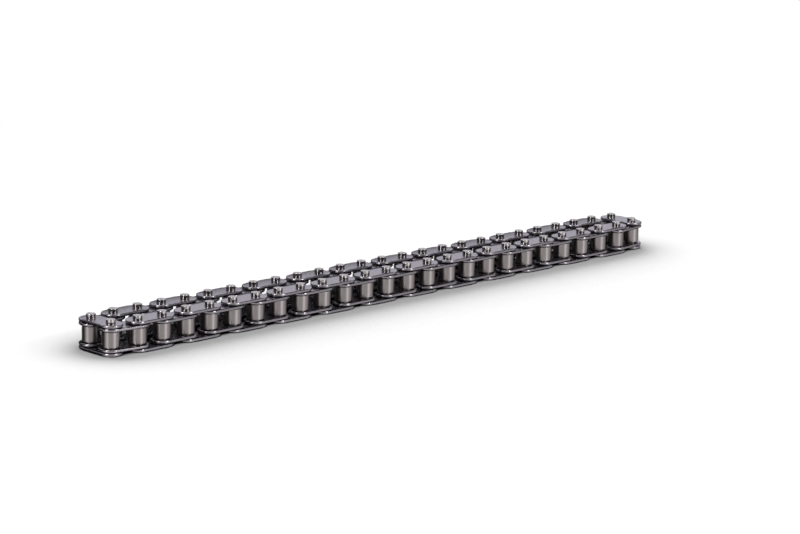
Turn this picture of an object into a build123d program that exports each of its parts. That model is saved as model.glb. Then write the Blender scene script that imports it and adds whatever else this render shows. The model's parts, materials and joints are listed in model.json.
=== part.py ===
"""An oil pump drive chain: an endless single-strand roller chain of 52 links.

The chain lies on its side, its pins upright, as a collapsed loop of two nearly parallel strands.
Outer and inner links take turns. An outer link is two plates riveted onto two pins. An inner link
is two plates pressed onto two bushes, and each bush carries a loose roller.
The frame is centred on the loop, with X along the strands and the lower pin ends at Z = 0.
All lengths are in millimetres.
"""

import os
from math import asin, cos, degrees, radians, sin

from build123d import *

# The loop
pitch = 8.0
link_pairs = 26
strand_gap = 3.55

# Plates
plate_end_gap = 1.7
outer_plate_thickness = 0.75
inner_plate_thickness = 0.75
inner_width = 4.6

# Pins, bushes and rollers
pin_diameter = 2.5
upper_pin_projection = 1.05
lower_pin_projection = 0.35
pin_end_chamfer = 0.2
bush_wall = 0.5
bush_projection = 0.1
roller_wall = 0.52
roller_end_gap = 0.25

# Running clearances: the first three are radial, the last is between a bush end and an outer plate
pin_clearance = 0.03
roller_clearance = 0.05
side_clearance = 0.1

# What follows from those sizes
link_count = 2 * link_pairs
plate_height = pitch - plate_end_gap
strand_spacing = plate_height + strand_gap
bush_bore = pin_diameter + 2 * pin_clearance
bush_diameter = bush_bore + 2 * bush_wall
roller_bore = bush_diameter + 2 * roller_clearance
roller_diameter = roller_bore + 2 * roller_wall

# Levels, from the lower pin ends upwards
plate_gap = bush_projection + side_clearance
lower_outer_level = lower_pin_projection
lower_inner_level = lower_outer_level + outer_plate_thickness + plate_gap
roller_level = lower_inner_level + inner_plate_thickness + roller_end_gap
upper_inner_level = lower_inner_level + inner_plate_thickness + inner_width
upper_outer_level = upper_inner_level + inner_plate_thickness + plate_gap
pin_length = upper_outer_level + outer_plate_thickness + upper_pin_projection
bush_level = lower_inner_level - bush_projection
bush_length = 2 * (inner_plate_thickness + bush_projection) + inner_width
roller_length = inner_width - 2 * roller_end_gap


def link_headings():
    """Heading of each link, counter-clockwise round the loop from the left end link.

    The left end link runs towards the front strand. Each strand is straight, but its first and
    last links flare, because the strands lie further apart than one pitch.
    """
    flare = degrees(asin((strand_spacing - pitch) / (2 * pitch)))
    straight_links = link_pairs - 3
    front_half = [-90.0, -flare] + [0.0] * straight_links + [flare]
    return front_half + [heading + 180 for heading in front_half]


def link_places():
    """Location of each link: its first pin's axis at Z = 0, with X towards its second pin."""
    headings = link_headings()
    corners = [(0.0, 0.0)]
    for heading in headings[:-1]:
        x, y = corners[-1]
        corners.append((x + pitch * cos(radians(heading)), y + pitch * sin(radians(heading))))
    centre_x = corners[link_pairs][0] / 2
    centre_y = corners[link_pairs][1] / 2
    return [
        Location((x - centre_x, y - centre_y, 0), (0, 0, heading))
        for (x, y), heading in zip(corners, headings)
    ]


def make_plate(level, thickness, hole_diameter):
    """A flat plate with round ends and a hole for each end's pin or bush."""
    with BuildPart() as plate:
        with BuildSketch(Plane.XY.offset(level)):
            with Locations((pitch / 2, 0)):
                SlotCenterToCenter(pitch, plate_height)
                with GridLocations(pitch, 0, 2, 1):
                    Circle(hole_diameter / 2, mode=Mode.SUBTRACT)
        extrude(amount=thickness)
    return plate.part


def make_pin():
    """A round pin, chamfered at both ends, that stands proud of both outer plates."""
    with BuildPart() as pin:
        with BuildSketch():
            Circle(pin_diameter / 2)
        extrude(amount=pin_length)
        chamfer(pin.edges().group_by(Axis.Z)[0], pin_end_chamfer)
        chamfer(pin.edges().group_by(Axis.Z)[-1], pin_end_chamfer)
    return pin.part


def make_tube(level, length, outer_diameter, bore):
    """A plain round tube: a bush or a roller."""
    with BuildPart() as tube:
        with BuildSketch(Plane.XY.offset(level)):
            Circle(outer_diameter / 2)
            Circle(bore / 2, mode=Mode.SUBTRACT)
        extrude(amount=length)
    return tube.part


# One of each piece, as it sits at a link's first pin
lower_outer_plate = make_plate(lower_outer_level, outer_plate_thickness, pin_diameter)
upper_outer_plate = make_plate(upper_outer_level, outer_plate_thickness, pin_diameter)
lower_inner_plate = make_plate(lower_inner_level, inner_plate_thickness, bush_diameter)
upper_inner_plate = make_plate(upper_inner_level, inner_plate_thickness, bush_diameter)
pin = make_pin()
bush = make_tube(bush_level, bush_length, bush_diameter, bush_bore)
roller = make_tube(roller_level, roller_length, roller_diameter, roller_bore)
second_end = Location((pitch, 0, 0))

outer_link_pieces = {
    "lower_plate": lower_outer_plate,
    "upper_plate": upper_outer_plate,
    "back_pin": pin,
    "front_pin": pin.moved(second_end),
}
inner_link_pieces = {
    "lower_plate": lower_inner_plate,
    "upper_plate": upper_inner_plate,
    "first_bush": bush,
    "second_bush": bush.moved(second_end),
    "first_roller": roller,
    "second_roller": roller.moved(second_end),
}


def placed(pieces, place):
    """The pieces of one link, each moved to the link's place and labelled."""
    moved_pieces = []
    for name, piece in pieces.items():
        moved_piece = piece.moved(place)
        moved_piece.label = name
        moved_pieces.append(moved_piece)
    return moved_pieces


# The first outer and the first inner link are written piece by piece, every other link as a whole
os.makedirs("parts", exist_ok=True)
for number, place in enumerate(link_places()):
    is_outer = number % 2 == 0
    kind = "outer" if is_outer else "inner"
    link_name = f"{kind}_link_{number // 2 + 1:02d}"
    pieces = placed(outer_link_pieces if is_outer else inner_link_pieces, place)
    if number < 2:
        for piece in pieces:
            piece.label = f"{link_name}_{piece.label}"
            export_step(piece, f"parts/{piece.label}.step")
    else:
        link = Compound(label=link_name, children=pieces)
        export_step(link, f"parts/{link_name}.step")
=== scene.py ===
"""An oil pump drive chain, lying on its side as a collapsed loop on a pale studio floor.

Each link of the chain is built from a few modelled pieces: stamped plates with rounded edges, pins
with riveted heads, bushes and rollers. A link's pieces are copied to the place of its two pins.
All lengths are in metres.
"""

import json
from math import atan2, cos, pi, radians, sin

import bmesh
import bpy
from mathutils import Matrix, Quaternion, Vector

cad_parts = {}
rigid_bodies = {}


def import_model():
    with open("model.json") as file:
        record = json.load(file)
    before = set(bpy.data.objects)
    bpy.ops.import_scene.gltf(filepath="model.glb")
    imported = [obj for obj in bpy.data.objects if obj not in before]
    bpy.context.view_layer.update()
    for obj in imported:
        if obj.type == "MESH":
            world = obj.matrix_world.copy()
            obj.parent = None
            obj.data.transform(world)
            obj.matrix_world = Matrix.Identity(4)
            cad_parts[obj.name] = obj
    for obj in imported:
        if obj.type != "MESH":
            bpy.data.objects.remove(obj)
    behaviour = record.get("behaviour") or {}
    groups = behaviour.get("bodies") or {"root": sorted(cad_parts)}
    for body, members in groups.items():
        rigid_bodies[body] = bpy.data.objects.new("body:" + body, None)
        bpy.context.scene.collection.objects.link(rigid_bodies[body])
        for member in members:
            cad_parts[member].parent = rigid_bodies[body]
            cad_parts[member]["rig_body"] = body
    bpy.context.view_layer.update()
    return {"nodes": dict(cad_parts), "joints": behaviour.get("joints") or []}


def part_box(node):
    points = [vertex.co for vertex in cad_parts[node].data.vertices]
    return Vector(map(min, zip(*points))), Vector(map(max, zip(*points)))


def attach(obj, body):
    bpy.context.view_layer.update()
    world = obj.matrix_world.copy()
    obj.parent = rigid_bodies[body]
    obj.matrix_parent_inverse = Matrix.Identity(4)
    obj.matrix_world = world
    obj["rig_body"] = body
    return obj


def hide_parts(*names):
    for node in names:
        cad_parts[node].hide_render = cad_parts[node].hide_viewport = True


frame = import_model()
MM = 0.001


# Sizes from the frame. The first outer link runs straight along Y, so its boxes are not turned.
lower_plate_low, lower_plate_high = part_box("outer_link_01_lower_plate")
upper_plate_low, upper_plate_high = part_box("outer_link_01_upper_plate")
inner_lower_low, inner_lower_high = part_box("inner_link_01_lower_plate")
inner_upper_low, inner_upper_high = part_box("inner_link_01_upper_plate")
pin_low, pin_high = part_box("outer_link_01_back_pin")
bush_low, bush_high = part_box("inner_link_01_first_bush")
roller_low, roller_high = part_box("inner_link_01_first_roller")

plate_height = lower_plate_high.x - lower_plate_low.x
plate_thickness = lower_plate_high.z - lower_plate_low.z
pitch = lower_plate_high.y - lower_plate_low.y - plate_height
pin_radius = (pin_high.x - pin_low.x) / 2
bush_radius = (bush_high.x - bush_low.x) / 2
roller_radius = (roller_high.x - roller_low.x) / 2

# Sizes that the boxes don't show
pin_clearance = 0.03 * MM
roller_clearance = 0.05 * MM
plate_edge_round = 0.26 * MM
hole_edge_chamfer = 0.05 * MM
pin_edge_round = 0.14 * MM
pin_dimple_wall = 0.45 * MM
pin_dimple_slope = 0.2 * MM
pin_dimple_depth = 0.04 * MM
roller_edge_round = 0.12 * MM
bush_edge_chamfer = 0.06 * MM
nearly = 0.001 * MM


# Modelling

def start_from(primitive, **options):
    """Adds a primitive on its own, enters edit mode and returns the object."""
    bpy.ops.object.select_all(action="DESELECT")
    primitive(**options)
    piece = bpy.context.object
    bpy.ops.object.transform_apply(location=True, rotation=True, scale=True)
    bpy.ops.object.mode_set(mode="EDIT")
    return piece


def pick(kind, wanted):
    """Selects the faces or edges of the mesh in edit mode that a test on their corners accepts."""
    bpy.ops.mesh.select_mode(type=kind)
    bpy.ops.mesh.select_all(action="DESELECT")
    shape = bmesh.from_edit_mesh(bpy.context.object.data)
    for part in shape.faces if kind == "FACE" else shape.edges:
        if wanted([corner.co for corner in part.verts]):
            part.select_set(True)
    bmesh.update_edit_mesh(bpy.context.object.data)


def at_level(*levels):
    """A test for faces or edges that lie flat at one of these heights."""
    return lambda corners: any(all(abs(c.z - z) < nearly for c in corners) for z in levels)


def rim_of(radius, centres, *levels):
    """A test for the edges of round rims of this radius, about upright axes, at these heights."""
    flat = at_level(*levels)

    def on_rim(corners):
        return flat(corners) and any(
            all(abs(Vector((c.x - x, c.y)).length - radius) < 5 * nearly for c in corners)
            for x in centres
        )

    return on_rim


def finish_mesh(piece, smooth_angle=40):
    """Leaves edit mode with clean normals, smooth on its rounds and flat on its faces."""
    bpy.ops.mesh.select_all(action="SELECT")
    bpy.ops.mesh.remove_doubles(threshold=nearly / 10)
    bpy.ops.mesh.normals_make_consistent(inside=False)
    bpy.ops.object.mode_set(mode="OBJECT")
    bpy.ops.object.shade_smooth_by_angle(angle=radians(smooth_angle))
    weighted = piece.modifiers.new("weighted", "WEIGHTED_NORMAL")
    weighted.keep_sharp = True
    bpy.ops.object.modifier_apply(modifier=weighted.name)
    return piece


def on_outline(*levels):
    """A test for the edges of a plate's outer rim at these heights."""
    flat = at_level(*levels)

    def on_rim(corners):
        return flat(corners) and all(
            abs(Vector((c.x - min(max(c.x, 0), pitch), c.y)).length - plate_height / 2) < 5 * nearly
            for c in corners
        )

    return on_rim


def model_plate(name, hole_radius, steel):
    """A stamped plate that stands on the origin's height and runs from the first pin's axis along X.

    The first hole is widened to the plate's round end, its inner half is drawn out to the middle
    of the plate, and the other half of the plate is its mirror image.
    """
    plate = start_from(
        bpy.ops.mesh.primitive_circle_add, vertices=40, radius=hole_radius, fill_type="NOTHING"
    )
    plate.name = name
    bpy.ops.mesh.select_all(action="SELECT")
    bpy.ops.mesh.extrude_region_move()
    widening = plate_height / 2 / hole_radius
    bpy.ops.transform.resize(value=(widening, widening, 1), center_override=(0, 0, 0))
    pick(
        "EDGE",
        lambda corners: all(
            c.x > -nearly and c.xy.length > plate_height / 2 - nearly for c in corners
        ),
    )
    bpy.ops.mesh.extrude_region_move()
    bpy.ops.transform.resize(value=(0, 1, 1), center_override=(pitch / 2, 0, 0))
    bpy.ops.mesh.select_all(action="SELECT")
    bpy.ops.mesh.duplicate()
    bpy.ops.transform.resize(value=(-1, 1, 1), center_override=(pitch / 2, 0, 0))
    bpy.ops.mesh.select_all(action="SELECT")
    bpy.ops.mesh.remove_doubles(threshold=nearly)
    bpy.ops.mesh.normals_make_consistent(inside=False)
    bpy.ops.mesh.extrude_region_move(
        TRANSFORM_OT_translate={"value": (0, 0, plate_thickness)}
    )
    bpy.ops.mesh.select_all(action="SELECT")
    bpy.ops.mesh.normals_make_consistent(inside=False)
    pick("EDGE", on_outline(0, plate_thickness))
    bpy.ops.mesh.bevel(offset=plate_edge_round, segments=3, affect="EDGES")
    pick("EDGE", rim_of(hole_radius, (0, pitch), 0, plate_thickness))
    bpy.ops.mesh.bevel(offset=hole_edge_chamfer, segments=1, affect="EDGES")
    plate.data.materials.append(steel)
    return finish_mesh(plate)


def model_pin(name, steel):
    """A pin with rounded ends and a shallow dimple in each, left by the riveting."""
    length = pin_high.z - pin_low.z
    pin = start_from(
        bpy.ops.mesh.primitive_cylinder_add,
        vertices=32,
        radius=pin_radius,
        depth=length,
        location=(0, 0, length / 2),
    )
    pin.name = name
    for level, inwards in ((0, 1), (length, -1)):
        pick("FACE", at_level(level))
        bpy.ops.mesh.inset(thickness=pin_dimple_wall)
        bpy.ops.mesh.inset(thickness=pin_dimple_slope)
        bpy.ops.transform.translate(value=(0, 0, inwards * pin_dimple_depth))
    pick("EDGE", rim_of(pin_radius, (0,), 0, length))
    bpy.ops.mesh.bevel(offset=pin_edge_round, segments=3, affect="EDGES")
    pin.data.materials.append(steel)
    return finish_mesh(pin, smooth_angle=50)


def model_tube(name, low, high, radius, bore, outer_round, steel):
    """A round tube from one height to another, with rounded outer rims."""
    tube = start_from(
        bpy.ops.mesh.primitive_cylinder_add,
        vertices=40,
        radius=radius,
        depth=high - low,
        location=(0, 0, (low + high) / 2),
    )
    tube.name = name
    pick("FACE", at_level(low, high))
    bpy.ops.mesh.inset(thickness=radius - bore, use_boundary=True)
    bpy.ops.mesh.bridge_edge_loops()
    pick("EDGE", rim_of(radius, (0,), low, high))
    bpy.ops.mesh.bevel(offset=outer_round, segments=3, affect="EDGES")
    tube.data.materials.append(steel)
    return finish_mesh(tube)


def placed_copy(master, place):
    """A copy of a modelled piece with a mesh of its own, moved there in its mesh."""
    copy = master.copy()
    copy.data = master.data.copy()
    copy.data.transform(place)
    bpy.context.scene.collection.objects.link(copy)
    return copy


def joined(name, copies):
    """Several pieces of one link as one object."""
    bpy.ops.object.select_all(action="DESELECT")
    for copy in copies:
        copy.select_set(True)
    bpy.context.view_layer.objects.active = copies[0]
    if len(copies) > 1:
        bpy.ops.object.join()
    copies[0].name = copies[0].data.name = name
    return copies[0]


# Finishes

class Wire:
    """An output socket of a shader node. Arithmetic on it adds Math nodes."""

    def __init__(self, finish, socket):
        self.finish = finish
        self.socket = socket

    def maths(self, operation, left, right):
        return self.finish.node("ShaderNodeMath", {"operation": operation}, {0: left, 1: right})

    def __add__(self, other):
        return self.maths("ADD", self, other)

    def __sub__(self, other):
        return self.maths("SUBTRACT", self, other)

    def __rsub__(self, other):
        return self.maths("SUBTRACT", other, self)

    def __mul__(self, other):
        return self.maths("MULTIPLY", self, other)

    def __pow__(self, other):
        return self.maths("POWER", self, other)

    __radd__ = __add__
    __rmul__ = __mul__


class Finish:
    """A material in the making, with one method that adds any node."""

    def __init__(self, owner):
        owner.use_nodes = True
        self.tree = owner.node_tree
        self.tree.nodes.clear()

    def node(self, kind, settings=None, inputs=None, output=0):
        """Adds a node, makes its settings, then sets or links its sockets, and returns an output."""
        made = self.tree.nodes.new(kind)
        for name, value in (settings or {}).items():
            setattr(made, name, value)
        for name, value in (inputs or {}).items():
            if isinstance(value, Wire):
                self.tree.links.new(value.socket, made.inputs[name])
            else:
                made.inputs[name].default_value = value
        return Wire(self, made.outputs[output])

    def surface(self, shader):
        kind = "World" if "World" in self.tree.bl_idname else "Material"
        out = self.tree.nodes.new(f"ShaderNodeOutput{kind}")
        self.tree.links.new(shader.socket, out.inputs["Surface"])


def object_noise(finish, spacing, detail=3.0, roughness=0.5, stretch=(1, 1, 1)):
    """Noise from 0 to 1 on the piece's own coordinates, its patches about one spacing across."""
    place = finish.node("ShaderNodeTexCoord", output="Object")
    scale = tuple(1 / (spacing * s) for s in stretch)
    scaled = finish.node(
        "ShaderNodeVectorMath", {"operation": "MULTIPLY"}, {0: place, 1: scale}
    )
    return finish.node(
        "ShaderNodeTexNoise",
        {"noise_dimensions": "3D"},
        {"Vector": scaled, "Scale": 1.0, "Detail": detail, "Roughness": roughness},
    )


def steel(name, dark, light, roughness, roughness_range, grain, grain_depth, stretch=(1, 1, 1)):
    """A steel whose tone drifts between two colours, with a fine grain in gloss and height."""
    material = bpy.data.materials.new(name)
    finish = Finish(material)
    drift = object_noise(finish, spacing=3 * MM)
    fine = object_noise(finish, spacing=grain, detail=4.0, roughness=0.6, stretch=stretch)
    tone = 0.6 * drift + 0.4 * fine
    colour = colour_mix(finish, tone, dark, light)
    rough = roughness + roughness_range * (tone - 0.5)
    bump = finish.node(
        "ShaderNodeBump", None, {"Strength": 0.5, "Distance": grain_depth, "Height": fine}
    )
    finish.surface(
        finish.node(
            "ShaderNodeBsdfPrincipled",
            None,
            {"Base Color": colour, "Metallic": 1.0, "Roughness": rough, "Normal": bump},
        )
    )
    return material


def colour_mix(finish, factor, a, b):
    """A colour between two, by a factor."""
    mix = finish.tree.nodes.new("ShaderNodeMix")
    mix.data_type = "RGBA"
    finish.tree.links.new(factor.socket, mix.inputs[0])
    mix.inputs[6].default_value = (*a, 1)
    mix.inputs[7].default_value = (*b, 1)
    return Wire(finish, mix.outputs[2])


plate_steel = steel(
    "plate_steel",
    dark=(0.20, 0.187, 0.202),
    light=(0.28, 0.262, 0.283),
    roughness=0.26,
    roughness_range=0.10,
    grain=0.3 * MM,
    grain_depth=0.005 * MM,
)
pin_steel = steel(
    "pin_steel",
    dark=(0.28, 0.262, 0.258),
    light=(0.39, 0.367, 0.362),
    roughness=0.14,
    roughness_range=0.06,
    grain=0.4 * MM,
    grain_depth=0.002 * MM,
)
roller_steel = steel(
    "roller_steel",
    dark=(0.21, 0.189, 0.189),
    light=(0.28, 0.252, 0.252),
    roughness=0.30,
    roughness_range=0.08,
    grain=0.12 * MM,
    grain_depth=0.003 * MM,
    stretch=(8, 8, 1),
)
bush_steel = steel(
    "bush_steel",
    dark=(0.26, 0.25, 0.24),
    light=(0.36, 0.345, 0.33),
    roughness=0.3,
    roughness_range=0.1,
    grain=0.2 * MM,
    grain_depth=0.002 * MM,
)


# The pieces, each modelled once
outer_plate = model_plate("outer_plate", pin_radius, plate_steel)
inner_plate = model_plate("inner_plate", bush_radius, plate_steel)
pin = model_pin("pin", pin_steel)
bush = model_tube(
    "bush", bush_low.z, bush_high.z, bush_radius, pin_radius + pin_clearance, bush_edge_chamfer,
    bush_steel,
)
roller = model_tube(
    "roller", roller_low.z, roller_high.z, roller_radius, bush_radius + roller_clearance,
    roller_edge_round, roller_steel,
)
second_end = Matrix.Translation((pitch, 0, 0))


def raised(level):
    return Matrix.Translation((0, 0, level))


outer_pieces = {
    "lower_plate": (outer_plate, raised(lower_plate_low.z), "plate_steel"),
    "upper_plate": (outer_plate, raised(upper_plate_low.z), "plate_steel"),
    "back_pin": (pin, raised(pin_low.z), "pin_steel"),
    "front_pin": (pin, raised(pin_low.z) @ second_end, "pin_steel"),
}
inner_pieces = {
    "lower_plate": (inner_plate, raised(inner_lower_low.z), "plate_steel"),
    "upper_plate": (inner_plate, raised(inner_upper_low.z), "plate_steel"),
    "first_bush": (bush, Matrix(), "bush_steel"),
    "second_bush": (bush, second_end, "bush_steel"),
    "first_roller": (roller, Matrix(), "roller_steel"),
    "second_roller": (roller, second_end, "roller_steel"),
}


# The links, from the pivots of the frame. The loop has one pivot with no joint, which lies
# opposite the driving one.
pivots = {
    joint["name"]: Vector(joint["pos_m"])
    for joint in frame["joints"]
    if joint["name"].startswith("pivot_")
}
link_count = len(pivots) + 1
half_loop = link_count // 2


def pivot_place(number):
    """Axis of a pivot, counted from 0 at the left end's back pin."""
    name = f"pivot_{number % link_count + 1:02d}"
    if name in pivots:
        return pivots[name]
    opposite = pivots[f"pivot_{(number + half_loop) % link_count + 1:02d}"]
    return Vector((-opposite.x, -opposite.y, opposite.z))


for number in range(link_count):
    is_outer = number % 2 == 0
    body = f"{'outer' if is_outer else 'inner'}_link_{number // 2 + 1:02d}"
    first, second = pivot_place(number), pivot_place(number + 1)
    heading = atan2(second.y - first.y, second.x - first.x)
    place = Matrix.Translation((first.x, first.y, 0)) @ Matrix.Rotation(heading, 4, "Z")
    pieces = outer_pieces if is_outer else inner_pieces
    if body in frame["nodes"]:
        copies = [placed_copy(master, place @ seat) for master, seat, _ in pieces.values()]
        link = joined(f"finished_{body}", copies)
        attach(link, body)
        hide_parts(body)
    else:
        for name, (master, seat, slot) in pieces.items():
            node = f"{body}_{name}"
            piece = joined(f"finished_{node}", [placed_copy(master, place @ seat)])
            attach(piece, frame["nodes"][node]["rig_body"])
            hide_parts(node)

for master in (outer_plate, inner_plate, pin, bush, roller):
    bpy.data.objects.remove(master)


# The floor: white paper, darker only where the chain stands close, by painted shade, and where its
# real shadow falls

chain_front = min(pivot.y for pivot in pivots.values()) - plate_height / 2
chain_end = min(pivot.x for pivot in pivots.values()) - plate_height / 2


def coordinate(finish, axis):
    """One coordinate of the place that is shaded, as the floor's own coordinates give it."""
    own = finish.node("ShaderNodeTexCoord", output="Object")
    return finish.node("ShaderNodeSeparateXYZ", None, {0: own}, output=axis)


def openness(finish, samples, reach):
    """How much of the space above a place on the floor is open, from 0 to 1, within a reach."""
    return finish.node(
        "ShaderNodeAmbientOcclusion", {"samples": samples}, {"Distance": reach}, output="AO"
    )


def painted_contact_shade(paper):
    """Painted shade on the paper close to the chain, from 0 to 1, taken from how open the space above
    the paper is: held back in front of the chain and left of it, and gone some way behind it."""
    soft_shade = 1.42 * (1 - openness(paper, samples=16, reach=60 * MM)) ** 0.5 - 0.19
    under = paper.node(
        "ShaderNodeMath",
        {"operation": "MINIMUM"},
        {0: coordinate(paper, "Y") - chain_front, 1: coordinate(paper, "X") - chain_end},
    )
    darkest = paper.node(
        "ShaderNodeMapRange",
        None,
        {"Value": under, "From Min": 1 * MM, "From Max": 3 * MM, "To Min": 0.62, "To Max": 1.0},
    )
    held = paper.node("ShaderNodeMath", {"operation": "MINIMUM"}, {0: soft_shade, 1: darkest})
    in_front = paper.node(
        "ShaderNodeMapRange",
        {"interpolation_type": "SMOOTHSTEP"},
        {"Value": coordinate(paper, "Y"), "From Min": 30 * MM, "From Max": 18 * MM},
    )
    return in_front * held


def make_floor_paper():
    """White paper with painted shade near the chain for the eye. The steel mirrors only a painted
    shade, black, where the chain covers the paper, and past it the room in the paper's place."""
    material = bpy.data.materials.new("floor_paper")
    paper = Finish(material)
    dark = paper.node("ShaderNodeBsdfDiffuse", None, {"Color": (0.0, 0.0, 0.0, 1)})
    lit = paper.node("ShaderNodeBsdfDiffuse", None, {"Color": (0.86, 0.86, 0.86, 1)})
    white = paper.node("ShaderNodeEmission", None, {"Strength": 1.0})
    clear = paper.node("ShaderNodeBsdfTransparent")

    from_centre = paper.node(
        "ShaderNodeVectorMath",
        {"operation": "LENGTH"},
        {0: paper.node("ShaderNodeTexCoord", output="Object")},
        output="Value",
    )
    far = paper.node(
        "ShaderNodeMapRange",
        {"interpolation_type": "SMOOTHSTEP"},
        {"Value": from_centre, "From Min": 140 * MM, "From Max": 300 * MM},
    )
    # Painted shade: the contact shade mixes the lit paper towards black.
    near = paper.node("ShaderNodeMixShader", None, {0: painted_contact_shade(paper), 1: lit, 2: dark})
    seen_by_eye = paper.node("ShaderNodeMixShader", None, {0: far, 1: near, 2: white})

    # Painted shade for the steel: mirrored rays see black where the chain covers the paper, and pass
    # through the paper further off.
    uncovered = paper.node(
        "ShaderNodeMapRange",
        None,
        {"Value": openness(paper, samples=8, reach=12 * MM), "From Min": 0.40, "From Max": 0.50},
    )
    seen_by_steel = paper.node("ShaderNodeMixShader", None, {0: uncovered, 1: dark, 2: clear})
    by_steel = paper.node("ShaderNodeLightPath", output="Is Glossy Ray")
    paper.surface(
        paper.node("ShaderNodeMixShader", None, {0: by_steel, 1: seen_by_eye, 2: seen_by_steel})
    )
    return material


bpy.ops.object.select_all(action="DESELECT")
bpy.ops.mesh.primitive_circle_add(vertices=64, radius=6.0, fill_type="NGON")
floor = bpy.context.object
floor.name = "floor"
floor.data.materials.append(make_floor_paper())


# Painted shade: a black card behind the chain that stands in for the shade inside it. Only the steel
# sees it, where it mirrors upwards, so that the chain is dark inside.

card_size = Vector((210 * MM, 0.5 * MM, 10.5 * MM))
card_centre = Vector((0, 14 * MM, 5.5 * MM))
card_clearance = 4.5 * MM


def make_painted_shade_card():
    """Painted shade: black for what rises towards it from further off than the clearance, and clear
    for the rest.
    """
    material = bpy.data.materials.new("painted_shade_card")
    black = Finish(material)
    incoming = black.node("ShaderNodeNewGeometry", output="Incoming")
    falling = black.node("ShaderNodeSeparateXYZ", None, {0: incoming}, output="Z")
    rising = black.node("ShaderNodeMath", {"operation": "LESS_THAN"}, {0: falling, 1: 0.0})
    ray_length = black.node("ShaderNodeLightPath", output="Ray Length")
    distant = black.node(
        "ShaderNodeMath", {"operation": "GREATER_THAN"}, {0: ray_length, 1: card_clearance}
    )
    clear = black.node("ShaderNodeBsdfTransparent")
    dark = black.node("ShaderNodeBsdfDiffuse", None, {"Color": (0.0, 0.0, 0.0, 1)})
    black.surface(
        black.node("ShaderNodeMixShader", None, {0: rising * distant, 1: clear, 2: dark})
    )
    return material


card = start_from(bpy.ops.mesh.primitive_cube_add, size=1)
card.name = "card"
bpy.ops.mesh.select_all(action="SELECT")
bpy.ops.transform.resize(value=card_size, center_override=(0, 0, 0))
bpy.ops.transform.translate(value=card_centre)
bpy.ops.object.mode_set(mode="OBJECT")
card.data.materials.append(make_painted_shade_card())
card.visible_camera = False
card.visible_diffuse = False
card.visible_shadow = False


# The camera, at the photograph's angle
camera_azimuth = radians(-44.86)
camera_elevation = radians(12.65)
camera_roll = radians(1.18)
camera_distance = 0.776
camera_target = Vector((0.95 * MM, -5.39 * MM, 8.6 * MM))
camera_lens = 126.5


def direction(azimuth, elevation):
    """Unit vector towards an azimuth, counted from the front towards the right, and elevation."""
    return Vector(
        (
            sin(azimuth) * cos(elevation),
            -cos(azimuth) * cos(elevation),
            sin(elevation),
        )
    )


towards_camera = direction(camera_azimuth, camera_elevation)
bpy.ops.object.camera_add(location=camera_target + camera_distance * towards_camera)
camera = bpy.context.object
camera.rotation_mode = "QUATERNION"
camera.rotation_quaternion = (
    towards_camera.to_track_quat("Z", "Y") @ Quaternion((0, 0, 1), camera_roll)
)
camera.data.lens = camera_lens
camera.data.sensor_width = 36
camera.data.clip_start = 0.01
camera.data.clip_end = 50
bpy.context.scene.camera = camera


# The lamps and the room

def lamp_at(kind, name, azimuth, elevation, distance):
    """A lamp that aims at the chain and isn't seen by the camera. Its azimuth counts from the
    camera's, and both angles are in degrees."""
    towards = direction(camera_azimuth + radians(azimuth), radians(elevation))
    bpy.ops.object.light_add(type=kind, location=distance * towards)
    lamp = bpy.context.object
    lamp.name = name
    lamp.rotation_mode = "QUATERNION"
    lamp.rotation_quaternion = towards.to_track_quat("Z", "Y")
    lamp.visible_camera = False
    return lamp


def softbox(name, azimuth, elevation, distance, width, height, radiance, colour=(1, 1, 1)):
    """A soft rectangular lamp that the steel mirrors. It doesn't light the floor."""
    lamp = lamp_at("AREA", name, azimuth, elevation, distance)
    lamp.data.shape = "RECTANGLE"
    lamp.data.size = width
    lamp.data.size_y = height
    lamp.data.energy = radiance * pi * width * height
    lamp.data.color = colour
    lamp.visible_diffuse = False


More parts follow.
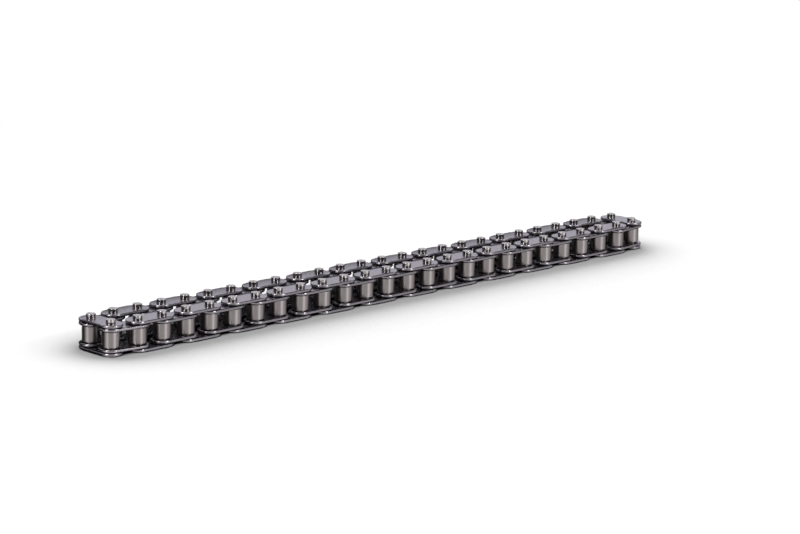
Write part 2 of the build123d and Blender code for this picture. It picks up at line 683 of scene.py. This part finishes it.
cool = (0.92, 0.91, 1.0)
softbox("backdrop", 180, 12, 1.2, 1.4, 0.5, 0.88, cool)
softbox("back_softbox", 180, 42, 0.9, 1.6, 0.65, 1.15, cool)
softbox("left_strip", -36, 31, 0.7, 0.12, 0.42, 19.0)
softbox("right_strip", 54, 31, 0.7, 0.12, 0.42, 17.0)
softbox("left_softbox", -108, 31, 0.9, 0.9, 0.4, 1.1, cool)
softbox("right_softbox", 100, 31, 0.9, 0.9, 0.4, 1.2, cool)
softbox("front_softbox", 0, 44, 0.9, 1.4, 0.45, 0.7)
softbox("overhead", 0, 84, 0.9, 1.0, 1.0, 0.8)

# The floor's own light comes from the camera's side, so that the chain shades what is behind it
floor_light = lamp_at("SUN", "floor_light", 0, 26, 1.0)
floor_light.data.energy = 6.8
floor_light.data.angle = radians(8)
floor_light.visible_glossy = False

bpy.context.scene.world = bpy.data.worlds.new("room")
room = Finish(bpy.context.scene.world)
seen = room.node("ShaderNodeLightPath", output="Is Camera Ray")
mirrored = room.node("ShaderNodeLightPath", output="Is Glossy Ray")
outwards = room.node(
    "ShaderNodeVectorMath",
    {"operation": "MULTIPLY"},
    {0: room.node("ShaderNodeTexCoord", output="Generated"), 1: (1, 1, 0)},
)
level_outwards = room.node("ShaderNodeVectorMath", {"operation": "NORMALIZE"}, {0: outwards})


def glow(azimuth, edge, full):
    """From 0 to 1 towards an azimuth from the camera's: starts at one angle and full at another."""
    towards = direction(camera_azimuth + radians(azimuth), 0)
    facing = room.node(
        "ShaderNodeVectorMath",
        {"operation": "DOT_PRODUCT"},
        {0: level_outwards, 1: towards},
        output="Value",
    )
    return room.node(
        "ShaderNodeMapRange",
        {"interpolation_type": "SMOOTHSTEP"},
        {"Value": facing, "From Min": cos(radians(edge)), "From Max": cos(radians(full))},
    )


height = room.node(
    "ShaderNodeSeparateXYZ",
    None,
    {0: room.node("ShaderNodeTexCoord", output="Generated")},
    output="Z",
)
low = room.node(
    "ShaderNodeMapRange",
    {"interpolation_type": "SMOOTHSTEP"},
    {"Value": height, "From Min": 0.12, "From Max": -0.04},
)
room_light = 0.36
pale = 1.15 * glow(24, 108, 84) + 1.3 * glow(-38, 17, 5) + 1.7 * glow(56, 17, 5)
far_side = 0.8 * glow(180, 52, 30)
walls = 0.02 + low * (pale + far_side)
brightness = seen + mirrored * walls + (1 - seen) * (1 - mirrored) * room_light
room.surface(room.node("ShaderNodeBackground", None, {"Strength": brightness}))

bpy.context.scene.view_settings.view_transform = "Standard"
